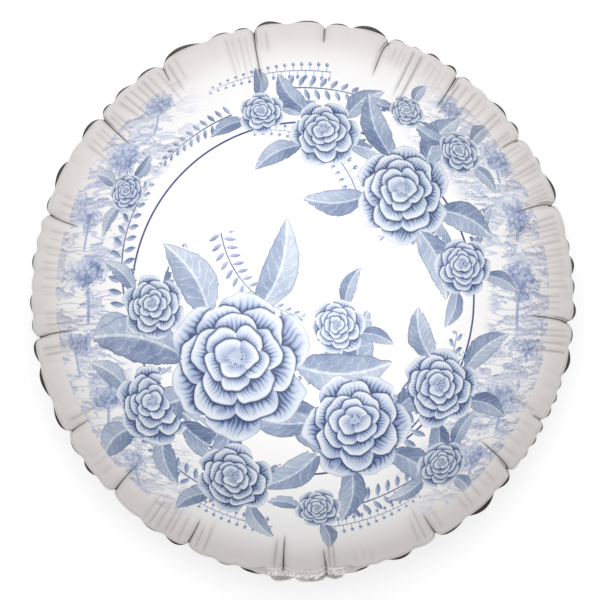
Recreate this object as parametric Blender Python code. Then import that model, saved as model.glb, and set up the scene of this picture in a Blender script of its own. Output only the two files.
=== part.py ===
# Round foil balloon, filled, lying on its back with the printed face up.
# Metres, +Z up, +X across the print, +Y up the print.
# The origin is the middle of the flat spot on the back that the balloon rests on.

import math

import bmesh
import bpy

# Filled body
seam_radius_across = 0.1715
seam_radius_along = 0.1765
fill_height = 0.195
rest_spot_radius = 0.030

# Welded edge band
band_width = 0.0055
band_droop_deg = 55.0
foil_thickness = 0.0008
seam_gap = 0.0003
back_margin = 0.0026

# Puckered edge: lobes between the long creases, small scallops along each lobe
lobe_rise = 0.0026
scallop_rise = 0.0013
edge_reach = 0.018
lobe_bulge = 0.0016
bulge_reach = 0.030
crease_depth = 0.0036
crease_half_width = 0.0028
long_crease = 0.022
seam_wave = 0.0014

# Long creases, going round from +X towards +Y: azimuth in degrees, length in from the seam,
# and the number of scallops between this crease and the next
creases = [
    (20.5, 0.023, 3), (36.4, 0.013, 4), (55.2, 0.027, 4), (71.4, 0.024, 2), (85.3, 0.010, 2),
    (100.4, 0.036, 3), (121.2, 0.011, 3), (138.0, 0.022, 4), (161.7, 0.027, 5), (188.4, 0.018, 3),
    (209.9, 0.012, 2), (225.6, 0.021, 3), (244.9, 0.016, 4), (265.9, 0.016, 2), (275.0, 0.008, 4),
    (299.5, 0.015, 3), (320.3, 0.028, 3), (333.0, 0.006, 4), (354.8, 0.025, 5),
]

# Filling tail, folded down behind the edge
tail_azimuth = 270.8
tail_width = 0.048
tail_reach = 0.0042
tail_length = 0.060
tail_lean_deg = 20.0
tail_fold_radius = 0.0036
fold_steps = 5

# Mesh
inner_columns = 60
wide_scallop_deg = 5.5
front_rings = [1.0, 0.985, 0.955, 0.91, 0.86, 0.80]
middle_rings = [0.72, 0.60, 0.46, 0.30]


def smooth_step(low, high, value):
    x = min(max((value - low) / (high - low), 0.0), 1.0)
    return x * x * (3.0 - 2.0 * x)


def profile(t):
    # Meridian of a filled flat-disc balloon: height at the radius share t, as a share of the radius.
    steps = 24
    w_end = math.sqrt(max(1.0 - t, 0.0))
    total = 0.0
    for k in range(steps):
        u = 1.0 - (w_end * (k + 0.5) / steps) ** 2
        total += 2.0 * u * u / math.sqrt((1.0 + u) * (1.0 + u * u))
    return total * w_end / steps


def profile_normal(t, height_share):
    # Outward direction of that meridian in the plane of radius and height.
    if t >= 1.0:
        return 1.0, 0.0
    slope = height_share * t * t / math.sqrt(1.0 - t ** 4)
    size = math.hypot(slope, 1.0)
    return slope / size, 1.0 / size


def seam_radius(azimuth):
    c, s = math.cos(math.radians(azimuth)), math.sin(math.radians(azimuth))
    return 1.0 / math.hypot(c / seam_radius_across, s / seam_radius_along)


half_height = fill_height / 2.0 - foil_thickness - seam_gap / 2.0
mean_radius = (seam_radius_across + seam_radius_along) / 2.0
height_share = half_height / mean_radius / profile(0.0)
rest_level = foil_thickness + seam_gap / 2.0 + half_height * profile(rest_spot_radius / mean_radius) / profile(0.0)
tail_half_angle = math.degrees(math.asin(tail_width / 2.0 / seam_radius(tail_azimuth)))


def lobe_at(azimuth):
    # The lobe that an azimuth lies in: its index, start, span and scallop count.
    for i, (start, length, scallops) in enumerate(creases):
        span = (creases[(i + 1) % len(creases)][0] - start) % 360.0
        along = (azimuth - start) % 360.0
        if along < span:
            return i, along / span, span, scallops
    return 0, 0.0, 1.0, 1


def crease_groove(azimuth, t):
    # Depth of the long creases at a place on the surface.
    depth = 0.0
    for start, length, scallops in creases:
        turn = abs((azimuth - start + 180.0) % 360.0 - 180.0)
        away = math.radians(turn) * mean_radius
        if away < crease_half_width:
            inner_end = 1.0 - length / mean_radius
            share = smooth_step(inner_end - 0.02, inner_end + 0.10, t) * min(length / long_crease, 1.0)
            depth = max(depth, crease_depth * share * (1.0 - away / crease_half_width))
    return depth


def edge_offset(azimuth):
    # How far the seam stands out from the plain oval at this azimuth.
    i, x, span, scallops = lobe_at(azimuth)
    lobe = 1.0 - abs(2.0 * x - 1.0) ** 4
    scallop = abs(math.sin(math.pi * scallops * x))
    return lobe_rise * (lobe - 0.75) + scallop_rise * (scallop - 0.6)


def wave(azimuth, t):
    # Height of the seam above the middle plane, dying out inward.
    i, x, span, scallops = lobe_at(azimuth)
    side = 1.0 if i % 2 else -1.0
    ripple = abs(math.sin(math.pi * scallops * x)) - 0.5
    lift = seam_wave * (0.7 * side * math.sin(math.pi * x) ** 2 + ripple)
    return lift * off_tail(azimuth) * smooth_step(1.0 - edge_reach / mean_radius, 1.0, t)


def off_tail(azimuth):
    # 0 where the tail leaves the band, 1 away from it.
    return smooth_step(tail_half_angle, tail_half_angle + 4.0, gap_between(azimuth, tail_azimuth))


def body_point(azimuth, t, side):
    # A place on the filled surface; side is 1 for the front and -1 for the back.
    fade = smooth_step(1.0 - edge_reach / mean_radius, 1.0, t)
    i, x, span, scallops = lobe_at(azimuth)
    swell = smooth_step(1.0 - bulge_reach / mean_radius, 1.0, t) if t < 1.0 else 0.0
    out = lobe_bulge * swell * (1.0 - (2.0 * x - 1.0) ** 2)
    out -= crease_groove(azimuth, t)
    nr, nz = profile_normal(t, height_share)
    r = seam_radius(azimuth) * t + edge_offset(azimuth) * fade + out * nr
    z = half_height * profile(t) / profile(0.0) + out * nz
    z = side * (z + foil_thickness + seam_gap / 2.0) + wave(azimuth, t)
    return place(azimuth, r, z)


def place(azimuth, r, z):
    return (r * math.cos(math.radians(azimuth)), r * math.sin(math.radians(azimuth)), z)


def sheet_margin(azimuth):
    # The back sheet shows past the front one at the top of each scallop.
    i, x, span, scallops = lobe_at(azimuth)
    return foil_thickness / 2.0 + back_margin * off_tail(azimuth) * abs(math.sin(math.pi * scallops * x)) ** 1.5


def band_point(azimuth, side, step, face):
    # The welded band: step 0 is the seam, 1 the edge of the weld and 2 the edge of the back sheet.
    # Face 1 is the outward face and 0 the inner face.
    r = seam_radius(azimuth) + edge_offset(azimuth) - crease_groove(azimuth, 1.0)
    z = wave(azimuth, 1.0)
    depth = side * (seam_gap / 2.0 + foil_thickness * face)
    if step == 0:
        return place(azimuth, r, z + depth)
    droop = math.radians(band_droop_deg) * off_tail(azimuth)
    r += band_width * math.cos(droop) + depth * math.sin(droop)
    if step == 2:
        r += sheet_margin(azimuth)
    z += depth * math.cos(droop) - band_width * math.sin(droop)
    return place(azimuth, r, z)


def column_azimuths():
    # Columns of the puckered zone: creases, their shoulders, scallop notches and humps, tail sides.
    shoulder = math.degrees(crease_half_width / mean_radius)
    fixed = [start for start, length, scallops in creases]
    tail_sides = [tail_azimuth - tail_half_angle, tail_azimuth + tail_half_angle]
    wanted = []
    for i, (start, length, scallops) in enumerate(creases):
        span = (creases[(i + 1) % len(creases)][0] - start) % 360.0
        wanted += [start + shoulder, start + span - shoulder]
        inside = 3 if span / scallops > wide_scallop_deg else 2
        for k in range(1, scallops * inside):
            at = span * k / (scallops * inside)
            if 1.7 * shoulder < at < span - 1.7 * shoulder:
                wanted.append(start + at)
    kept = list(tail_sides)
    kept += [a for a in fixed if all(gap_between(a, s) > 0.7 for s in tail_sides)]
    for a in wanted:
        if all(gap_between(a, b) > 0.7 for b in kept):
            kept.append(a)
    first = creases[0][0]
    return sorted(kept, key=lambda a: (a - first) % 360.0)


def gap_between(a, b):
    return abs((a - b + 180.0) % 360.0 - 180.0)


class Shell:
    # Points and faces of one closed sheet half.
    def __init__(self):
        self.points = []
        self.faces = []

    def ring(self, places):
        first = len(self.points)
        self.points += places
        return list(range(first, len(self.points)))

    def strip(self, a, b, closed=True):
        count = len(a)
        for k in range(count if closed else count - 1):
            n = (k + 1) % count
            self.faces.append((a[k], a[n], b[n], b[k]))

    def zip_rings(self, a, a_azimuths, b, b_azimuths):
        # Joins two rings with different counts, both going round from the same start.
        first = a_azimuths[0]
        turn_a = [(v - first) % 360.0 for v in a_azimuths] + [360.0]
        turn_b = [(v - first) % 360.0 for v in b_azimuths] + [360.0]
        i = j = 0
        while i < len(a) or j < len(b):
            if j == len(b) or (i < len(a) and turn_a[i + 1] <= turn_b[j + 1]):
                self.faces.append((a[i], a[(i + 1) % len(a)], b[j % len(b)]))
                i += 1
            else:
                self.faces.append((a[i % len(a)], b[(j + 1) % len(b)], b[j]))
                j += 1

    def fan(self, ring, middle):
        for k in range(len(ring)):
            self.faces.append((ring[k], ring[(k + 1) % len(ring)], middle))


def tail_path(radius):
    # Rows of one tail face, from the fold's top round to the free end, as distance out and height.
    lean = math.radians(tail_lean_deg)
    edge = seam_radius(tail_azimuth) + band_width
    out = edge + tail_reach - tail_fold_radius
    level = seam_gap / 2.0 + foil_thickness - tail_fold_radius
    rows = []
    for k in range(fold_steps + 1):
        a = math.pi / 2.0 - (math.pi / 2.0 + lean) * k / fold_steps
        rows.append((out + radius * math.cos(a), level + radius * math.sin(a)))
    q, z = rows[-1]
    rows.append((q - tail_length * math.sin(lean), z - tail_length * math.cos(lean)))
    return rows


def tail_rows(shell, azimuths, radius):
    rings = []
    for q, z in tail_path(radius):
        places = []
        for a in azimuths:
            share = (a - tail_azimuth) / tail_half_angle
            x = seam_radius(tail_azimuth) * math.cos(math.radians(tail_azimuth))
            places.append((x + share * tail_width / 2.0, -q, z))
        rings.append(shell.ring(places))
    return rings


def build_half(name, side):
    shell = Shell()
    azimuths = column_azimuths()
    first = azimuths[0]
    middle_azimuths = [first + 360.0 * k / inner_columns for k in range(inner_columns)]
    rest_share = rest_spot_radius / mean_radius

    # Outward surface, from the band's edge to the pole
    steps = (1,) if side > 0 else (2, 1)
    band_out = [shell.ring([band_point(a, side, step, 1) for a in azimuths]) for step in steps]
    edge_out, previous = band_out[0], band_out[-1]
    for a, b in zip(band_out, band_out[1:]):
        shell.strip(a, b)
    for t in front_rings:
        ring = shell.ring([body_point(a, t, side) for a in azimuths])
        shell.strip(previous, ring)
        previous = ring
    shares = [t for t in middle_rings if t > 1.25 * rest_share]
    from_azimuths = azimuths
    for t in shares:
        ring = shell.ring([body_point(a, t, side) for a in middle_azimuths])
        if from_azimuths is azimuths:
            shell.zip_rings(previous, azimuths, ring, middle_azimuths)
            from_azimuths = middle_azimuths
        else:
            shell.strip(previous, ring)
        previous = ring
    if side < 0:
        flat = [place(a, rest_spot_radius, -rest_level) for a in middle_azimuths]
        pole = (0.0, 0.0, -rest_level)
    else:
        flat = [body_point(a, rest_share, side) for a in middle_azimuths]
        pole = (0.0, 0.0, half_height + foil_thickness + seam_gap / 2.0)
    ring = shell.ring(flat)
    shell.strip(previous, ring)
    shell.fan(ring, shell.ring([pole])[0])

    # Inner face along the seam, flat in the middle
    band_in = [shell.ring([band_point(a, side, step, 0) for a in azimuths]) for step in (*steps, 0)]
    edge_in, seam_in = band_in[0], band_in[-1]
    level = side * seam_gap / 2.0
    inner_share = 1.0 - bulge_reach / mean_radius
    inner = shell.ring([place(a, seam_radius(a) * inner_share, level) for a in middle_azimuths])
    for a, b in zip(band_in, band_in[1:]):
        shell.strip(b, a)
    shell.zip_rings(seam_in, azimuths, inner, middle_azimuths)
    shell.fan(inner, shell.ring([(0.0, 0.0, level)])[0])

    # Band edge, with the tail running out of it
    low, high = tail_azimuth - tail_half_angle - 0.01, tail_azimuth + tail_half_angle + 0.01
    at_tail = [k for k, a in enumerate(azimuths) if low <= a <= high]
    outer_radius = tail_fold_radius if side > 0 else tail_fold_radius - foil_thickness - seam_gap
    tail_azimuths = [azimuths[k] for k in at_tail]
    faces_out = tail_rows(shell, tail_azimuths, outer_radius)
    faces_in = tail_rows(shell, tail_azimuths, outer_radius - foil_thickness)
    top_edge, low_edge = (edge_out, edge_in) if side > 0 else (edge_in, edge_out)
    count = len(azimuths)
    for k in range(count):
        n = (k + 1) % count
        if k in at_tail and n in at_tail:
            continue
        shell.faces.append((edge_in[k], edge_in[n], edge_out[n], edge_out[k]))
    top_rows = [[top_edge[k] for k in at_tail]] + faces_out
    low_rows = [[low_edge[k] for k in at_tail]] + faces_in
    for rows in (top_rows, low_rows):
        for a, b in zip(rows, rows[1:]):
            shell.strip(a, b, closed=False)
    shell.strip(top_rows[-1], low_rows[-1], closed=False)
    for column in (0, -1):
        shell.strip([row[column] for row in top_rows], [row[column] for row in low_rows], closed=False)

    lifted = [(x, y, z + rest_level) for x, y, z in shell.points]
    mesh = bpy.data.meshes.new(name)
    mesh.from_pydata(lifted, [], shell.faces)
    tidy = bmesh.new()
    tidy.from_mesh(mesh)
    bmesh.ops.triangulate(tidy, faces=tidy.faces[:])
    bmesh.ops.recalc_face_normals(tidy, faces=tidy.faces[:])
    tidy.to_mesh(mesh)
    tidy.free()
    mesh.shade_smooth()
    mesh.set_sharp_from_angle(angle=math.radians(50.0))
    body = bpy.data.objects.new(name, mesh)
    bpy.context.scene.collection.objects.link(body)
    return body


def foil_material(name, colour, roughness, metallic):
    material = bpy.data.materials.new(name)
    material.use_nodes = True
    surface = material.node_tree.nodes["Principled BSDF"]
    surface.inputs["Base Color"].default_value = (*colour, 1.0)
    surface.inputs["Roughness"].default_value = roughness
    surface.inputs["Metallic"].default_value = metallic
    return material


for item in list(bpy.data.objects):
    bpy.data.objects.remove(item, do_unlink=True)

front = build_half("front_foil", 1)
front.data.materials.append(foil_material("white_foil", (0.86, 0.86, 0.87), 0.35, 0.0))
back = build_half("back_foil", -1)
back.data.materials.append(foil_material("silver_foil", (0.60, 0.60, 0.61), 0.28, 1.0))
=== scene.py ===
import math
from functools import partial

import bmesh
import bpy
import numpy as np
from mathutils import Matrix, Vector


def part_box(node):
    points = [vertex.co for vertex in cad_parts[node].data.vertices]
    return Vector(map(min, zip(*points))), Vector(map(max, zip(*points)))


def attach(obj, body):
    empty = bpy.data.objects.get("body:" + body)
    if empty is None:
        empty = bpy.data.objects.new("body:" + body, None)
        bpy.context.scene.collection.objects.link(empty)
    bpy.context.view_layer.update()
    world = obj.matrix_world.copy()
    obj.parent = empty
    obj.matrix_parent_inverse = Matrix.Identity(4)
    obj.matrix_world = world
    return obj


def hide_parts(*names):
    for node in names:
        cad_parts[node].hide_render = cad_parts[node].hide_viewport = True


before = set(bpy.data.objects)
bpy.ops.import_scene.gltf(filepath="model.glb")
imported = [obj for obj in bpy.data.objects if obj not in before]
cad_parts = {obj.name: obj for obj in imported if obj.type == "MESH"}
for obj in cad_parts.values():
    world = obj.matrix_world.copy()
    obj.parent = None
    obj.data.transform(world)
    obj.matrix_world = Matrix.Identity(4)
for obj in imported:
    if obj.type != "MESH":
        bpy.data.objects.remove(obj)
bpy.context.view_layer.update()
print("frame loaded")

# Camera and studio

view = {
    "imageSize": 600,
    "metresPerPixel": 0.6536e-3,
    "centreX": 302.6,  # where the middle of the balloon lies in the picture
    "centreY": 298.5,
    "height": 2.3,  # above the seam
    "sensor": 36.0,
}

studio = {
    "worldStrength": 0.08,
    "worldColour": (1.0, 0.985, 0.975),
    "topSize": 2.4,
    "topPlace": (-0.05, 0.38, 3.2),
    "topPower": 110.0,
    "keySize": 1.6,
    "keyPlace": (0.1, 2.2, 1.9),
    "keyPower": 5.0,
    "floorColour": (0.50, 0.50, 0.504),
    "floorGlow": 0.60,
    "floorHalf": 3.0,
}

# The filled body: two flat discs of film, welded at the edge
body = {
    "across": 0.1715,
    "along": 0.1765,
    "height": 0.195,
    "solidFilm": 0.0008,  # the film's thickness in the plain solids
    "film": 0.0004,
    "gap": 0.0003,
    "band": 0.0055,
    "bandDroop": 65.0,
}

pucker = {
    "spreadAcross": 0.0027,  # how far the weld lies out past the plain oval
    "spreadAlong": 0.0010,
    "lobeRise": 0.0018,
    "lobeShoulder": 0.0027,
    "scallopRise": 0.0012,
    "edgeReach": 0.016,
    "lobeBulge": 0.0012,
    "bulgeReach": 0.030,
    "foldDepth": 0.0010,
    "foldWidth": 0.00050,
    "valleyDepth": 0.0005,
    "valleyWidth": 0.0024,
    "lip": 0.0003,
    "hook": 0.009,  # how far in from the rim a crease has swung round
    "longCrease": 0.022,
    "pinchWidth": 0.00042,
    "seamWave": 0.0010,
    "wrinkleDepth": 0.0005,
    "wrinkleWidth": 0.0017,
    "wrinkleLine": 0.0009,
    "innerLimit": 0.70,  # share of the radius where the first wrinkles end
}

# The rim, lobe by lobe from +X towards +Y. A crease opens each lobe: its azimuth in degrees,
# its length in from the seam, and how many degrees it swings round. Then the lobe's
# scallops: where each ends, and how far the silver rim shows above it in millimetres
lobes = [
    (20.5, 0.023, 1.5, [(28.0, 2.0), (32.0, 1.0), (36.4, 0.1)]),
    (36.4, 0.013, 0.8, [(41.0, 1.6), (46.8, 1.7), (51.0, 0.1), (55.2, 1.0)]),
    (55.2, 0.024, -0.3, [(59.0, 1.9), (63.5, 1.7), (67.0, 0.8), (71.4, 1.0)]),
    (71.4, 0.024, 1.2, [(80.0, 3.0), (85.3, 1.3)]),
    (85.3, 0.010, 0.0, [(93.0, 1.3), (100.4, 2.3)]),
    (100.4, 0.034, 0.3, [(105.0, 1.3), (110.4, 1.3), (121.2, 2.8)]),
    (121.2, 0.011, 0.3, [(128.0, 1.7), (134.0, 1.6), (138.0, 1.6)]),
    (138.0, 0.024, 0.3, [(144.7, 2.3), (149.5, 0.1), (156.7, 2.4), (161.7, 1.2)]),
    (161.7, 0.020, 0.7, [(165.5, 0.7), (169.7, 0.7), (174.5, 1.3), (178.8, 0.1), (183.7, 1.3),
                         (188.4, 1.0)]),
    (188.4, 0.022, -0.6, [(194.3, 2.0), (202.0, 2.4), (209.9, 2.0)]),
    (209.9, 0.014, -0.4, [(216.0, 1.0), (221.0, 1.9), (225.6, 0.1)]),
    (225.6, 0.022, -0.5, [(233.5, 0.1), (239.3, 1.0), (244.9, 1.7)]),
    (244.9, 0.018, 0.3, [(251.0, 0.1), (256.2, 1.0), (262.0, 2.0), (265.9, 0.1)]),
    (265.9, 0.022, -0.2, [(275.0, 0.0)]),
    (275.0, 0.014, -0.3, [(279.0, 0.1), (284.5, 1.6), (287.3, 0.1), (294.0, 2.0), (299.5, 0.1)]),
    (299.5, 0.015, -0.4, [(306.9, 1.6), (315.0, 3.0), (320.3, 2.0)]),
    (320.3, 0.026, 1.1, [(323.2, 0.5), (326.5, 0.9), (329.8, 1.3), (333.0, 1.3)]),
    (333.0, 0.006, 0.2, [(336.8, 1.3), (340.0, 1.3), (343.2, 1.0), (349.8, 2.4), (354.8, 1.3)]),
    (354.8, 0.026, 0.9, [(359.8, 2.0), (364.6, 1.3), (369.5, 2.0), (373.3, 1.0), (380.5, 0.1)]),
]

# Groups of fine wrinkles: from and to azimuth, how many, outer and inner end as shares
# of the seam's radius, strength, and how many degrees they lean by their inner end
wrinkleGroups = [
    (21.8, 26, 4, 0.985, 0.88, 0.5, 0), (27, 36, 7, 0.99, 0.84, 0.55, 0),
    (37.5, 39.5, 2, 0.98, 0.82, 0.7, 0), (41, 53, 6, 0.985, 0.80, 0.65, 0),
    (53.3, 54.2, 1, 0.98, 0.77, 1.0, 0), (57, 62, 4, 0.98, 0.90, 0.35, 0),
    (63.2, 66.2, 2, 0.99, 0.76, 1.0, 0.3), (66.5, 71, 4, 0.98, 0.89, 0.4, 0),
    (72.5, 73.5, 1, 0.97, 0.83, 0.5, 0), (85.2, 85.8, 1, 1.00, 0.93, 0.6, 0),
    (97, 100, 2, 0.98, 0.87, 0.4, 0), (102, 107, 4, 0.98, 0.79, 0.45, 0),
    (117.5, 120.5, 2, 1.00, 0.86, 0.6, -0.3), (122, 134, 7, 0.99, 0.83, 0.7, -1.6),
    (135, 137, 2, 0.98, 0.86, 0.5, -0.5), (139, 145, 4, 0.975, 0.86, 0.5, 0.4),
    (156, 161, 3, 0.965, 0.86, 0.4, 0), (164, 180, 9, 0.97, 0.82, 0.35, 0),
    (183, 187.5, 4, 0.96, 0.78, 0.5, 0), (190.5, 193, 2, 0.98, 0.80, 0.55, 0),
    (207.3, 208.3, 1, 0.975, 0.83, 0.7, 0), (216, 222, 3, 0.98, 0.91, 0.25, 0),
    (233, 243.5, 6, 0.995, 0.87, 0.65, 0), (246, 249, 2, 0.995, 0.86, 0.7, 0),
    (263.5, 264.3, 1, 0.995, 0.82, 0.8, 0), (275.6, 277.4, 2, 0.995, 0.83, 0.8, 0),
    (281, 286, 3, 0.98, 0.92, 0.15, 0), (294.5, 298, 2, 0.985, 0.85, 0.5, 0.4),
    (300.5, 302, 1, 0.985, 0.86, 0.4, 0), (306.5, 318, 5, 0.975, 0.87, 0.4, 0),
    (322, 332, 4, 0.97, 0.86, 0.3, 0), (334, 334.8, 1, 0.96, 0.84, 0.7, 0.4),
    (347.5, 354, 4, 0.995, 0.83, 0.7, -1.0), (357, 361, 3, 0.96, 0.84, 0.5, 0),
    (362, 379, 12, 0.98, 0.77, 0.5, 0),
]

tail = {
    "azimuth": 270.8,
    "width": 0.048,
    "reach": 0.0039,
    "length": 0.060,
    "leanDegrees": 20.0,
    "foldRadius": 0.0036,
    "columns": 96,
    "rootRows": 8,
    "foldRows": 14,
    "hangRows": 54,
    "corner": 0.007,
    "crinkle": 0.0015,
    "crumple": 0.0007,
    "crumpleReach": 0.018,
    # Pleats side by side: middle as a share of the half width, half width, and how full
    "pleats": [(-0.66, 0.33, 0.82), (0.12, 0.44, 1.0), (0.76, 0.25, 0.62)],
    "pleatDepth": 0.0055,
    "pleatLasting": 0.6,
    "dip": 0.0018,
}

meshSize = {
    "frontColumns": 240,  # doubled twice on the way out
    "backColumns": 200,
    "firstDouble": 0.27,  # shares of the flat radius
    "secondDouble": 0.62,
    "innerRows": 24,
    "middleRows": 34,
    "outerRows": 54,
    "warpDegrees": 3.2,
    "warpSqueeze": 0.3,
    "warpSpare": 0.1,
}

rng = np.random.default_rng(7)


def makeCamera():
    data = bpy.data.cameras.new("camera")
    data.sensor_width = view["sensor"]
    spread = view["imageSize"] * view["metresPerPixel"]
    data.lens = view["sensor"] * view["height"] / spread
    camera = bpy.data.objects.new("camera", data)
    half = view["imageSize"] / 2
    x = (half - view["centreX"]) * view["metresPerPixel"]
    y = (view["centreY"] - half) * view["metresPerPixel"]
    camera.location = (x, y, view["height"] + body["height"] / 2)
    camera.rotation_euler = (0, 0, 0)
    bpy.context.scene.collection.objects.link(camera)
    bpy.context.scene.camera = camera


def makeLight(name, place, size, power):
    data = bpy.data.lights.new(name, "AREA")
    data.shape = "SQUARE"
    data.size = size
    data.energy = power
    light = bpy.data.objects.new(name, data)
    light.location = place
    toward = -light.location
    light.rotation_euler = toward.to_track_quat("-Z", "Y").to_euler()
    bpy.context.scene.collection.objects.link(light)
    return light


def makeStudio():
    scene = bpy.context.scene
    scene.view_settings.view_transform = "Standard"
    world = bpy.data.worlds.new("studio")
    world.use_nodes = True
    glow = world.node_tree.nodes["Background"]
    glow.inputs["Color"].default_value = (*studio["worldColour"], 1)
    glow.inputs["Strength"].default_value = studio["worldStrength"]
    scene.world = world
    makeLight("topLight", studio["topPlace"], studio["topSize"], studio["topPower"])
    makeLight("keyLight", studio["keyPlace"], studio["keySize"], studio["keyPower"])
    half = studio["floorHalf"]
    mesh = bpy.data.meshes.new("floor")
    corners = [(-half, -half, 0), (half, -half, 0), (half, half, 0), (-half, half, 0)]
    mesh.from_pydata(corners, [], [(0, 1, 2, 3)])
    floor = bpy.data.objects.new("floor", mesh)
    scene.collection.objects.link(floor)
    paper = bpy.data.materials.new("studioPaper")
    paper.use_nodes = True
    surface = paper.node_tree.nodes["Principled BSDF"]
    surface.inputs["Base Color"].default_value = (*studio["floorColour"], 1)
    surface.inputs["Roughness"].default_value = 0.9
    surface.inputs["Emission Color"].default_value = (1, 1, 1, 1)
    surface.inputs["Emission Strength"].default_value = studio["floorGlow"]
    mesh.materials.append(paper)


makeCamera()
makeStudio()
print("camera and studio made")

# Shape of the filled body

meanRadius = (body["across"] + body["along"]) / 2
layer = body["film"] + body["gap"] / 2
halfHeight = body["height"] / 2 - body["solidFilm"] - body["gap"] / 2
halfTail = math.degrees(math.asin(tail["width"] / 2 / body["along"]))
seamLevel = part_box("front_foil")[1].z - body["height"] / 2


def meridianTable():
    # Radius share, height share of the radius and arc length, from the seam in to the pole
    w = np.linspace(0, 1, 2001)
    u = 1 - w * w
    root = np.sqrt((1 + u) * (1 + u * u))
    step = 2 * u * u / root
    height = np.concatenate([[0], np.cumsum((step[1:] + step[:-1]) / 2 * np.diff(w))])
    squash = halfHeight / meanRadius / height[-1]
    length = np.sqrt(4 * w * w + (2 * squash * u * u / root) ** 2)
    arc = np.concatenate([[0], np.cumsum((length[1:] + length[:-1]) / 2 * np.diff(w))])
    return u, height * squash, arc, squash


tableU, tableHeight, tableArc, squash = meridianTable()
flatRadius = tableArc[-1] * meanRadius  # of each disc before filling
print(f"flat disc radius {flatRadius:.4f} m")


def shareAtArc(arcShare):
    # Radius share at a share of the flat radius
    return np.interp(1 - arcShare, tableArc / tableArc[-1], tableU)


def smoothStep(low, high, value):
    x = np.clip((value - low) / (high - low), 0, 1)
    return x * x * (3 - 2 * x)


def turnBetween(a, b):
    return (a - b + 180) % 360 - 180


creaseAzimuth = np.array([lobe[0] for lobe in lobes])
creaseSpan = (np.roll(creaseAzimuth, -1) - creaseAzimuth) % 360
scallopEnd = np.array([scallop[0] for lobe in lobes for scallop in lobe[3]])
scallopStart = np.concatenate([[lobes[0][0]], scallopEnd[:-1]])
rimShown = np.array([scallop[1] for lobe in lobes for scallop in lobe[3]]) / 1000
scallopSize = np.sqrt((scallopEnd - scallopStart) / 6) * rng.uniform(0.7, 1.15, len(scallopEnd))
scallopSkew = rng.uniform(0.75, 1.35, len(scallopEnd))


def creasePath(lobe, t):
    # Azimuth of a long crease at a radius share: it hooks round just inside the rim
    return lobe[0] + lobe[2] * (1 - np.exp((t - 1) * meanRadius / pucker["hook"]))


def makeWrinkles():
    # Azimuth, outer and inner end, strength, width, side that the ridge is on, and lean
    found = []
    for start, stop, count, outer, inner, strength, lean in wrinkleGroups:
        for k in range(count):
            place = start + (stop - start) * (k + rng.uniform(0.3, 0.7)) / count
            outerEnd = outer - rng.uniform(0, 0.006)
            innerEnd = outer - (outer - inner) * rng.uniform(0.75, 1.15)
            found.append((place, outerEnd, innerEnd, strength * rng.uniform(0.7, 1.4),
                          rng.uniform(0.8, 1.3), rng.choice([-1, 1]), lean + rng.uniform(-0.15, 0.15)))
    return found


wrinkles = makeWrinkles()


def wrinklePath(wrinkle, t):
    return wrinkle[0] + wrinkle[6] * np.clip((wrinkle[1] - t) / (wrinkle[1] - wrinkle[2]), 0, 1)


def creaseReach(lobe, t):
    innerEnd = 1 - 1.25 * lobe[1] / meanRadius
    strength = min(lobe[1] / pucker["longCrease"], 1) ** 0.5
    return smoothStep(innerEnd, innerEnd + 0.45 * lobe[1] / meanRadius, t) * strength


def wrinkleReach(wrinkle, t):
    outer, inner = wrinkle[1], wrinkle[2]
    fade = smoothStep(inner - 0.01, inner + 0.4 * (outer - inner), t)
    return wrinkle[3] * fade * (1 - smoothStep(outer - 0.012, outer + 0.008, t))


def columnAngles(count, t):
    # Columns crowd together at the long creases and follow them
    base = 360 * np.arange(count) / count
    angles = base.copy()
    width = meshSize["warpDegrees"]
    amount = float(smoothStep(0.66, 0.76, t))
    if amount <= 0:
        return angles
    for lobe in lobes:
        middle = base[np.argmin(np.abs(turnBetween(base, lobe[0])))]
        d = turnBetween(base, middle)
        near = np.abs(d) < width
        share = np.abs(d[near]) / width
        shift = turnBetween(float(creasePath(lobe, t)), middle)
        # A crease that swings far leaves its columns wider, or they would cross
        squeeze = max(meshSize["warpSqueeze"], abs(shift) / width + meshSize["warpSpare"])
        squeezed = d[near] * (squeeze + (1 - squeeze) * share)
        angles[near] += (squeezed + shift * (1 - share) - d[near]) * amount
    return angles


def lobeCoordinates(azimuth):
    first = creaseAzimuth[0]
    index = np.searchsorted(creaseAzimuth - first, (azimuth - first) % 360, side="right") - 1
    along = ((azimuth - creaseAzimuth[index]) % 360) / creaseSpan[index]
    return index, along


def seamRadius(azimuth):
    a = np.radians(azimuth)
    return 1 / np.hypot(np.cos(a) / body["across"], np.sin(a) / body["along"])


def scallopWave(azimuth):
    # Height along each scallop, 0 at the notches, and which scallop it is
    start = scallopStart[0]
    index = np.searchsorted(scallopStart - start, (azimuth - start) % 360, side="right") - 1
    along = ((azimuth - scallopStart[index]) % 360) / (scallopEnd - scallopStart)[index]
    return np.abs(np.sin(np.pi * np.clip(along, 0, 1) ** scallopSkew[index])) ** 0.8, index


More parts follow.
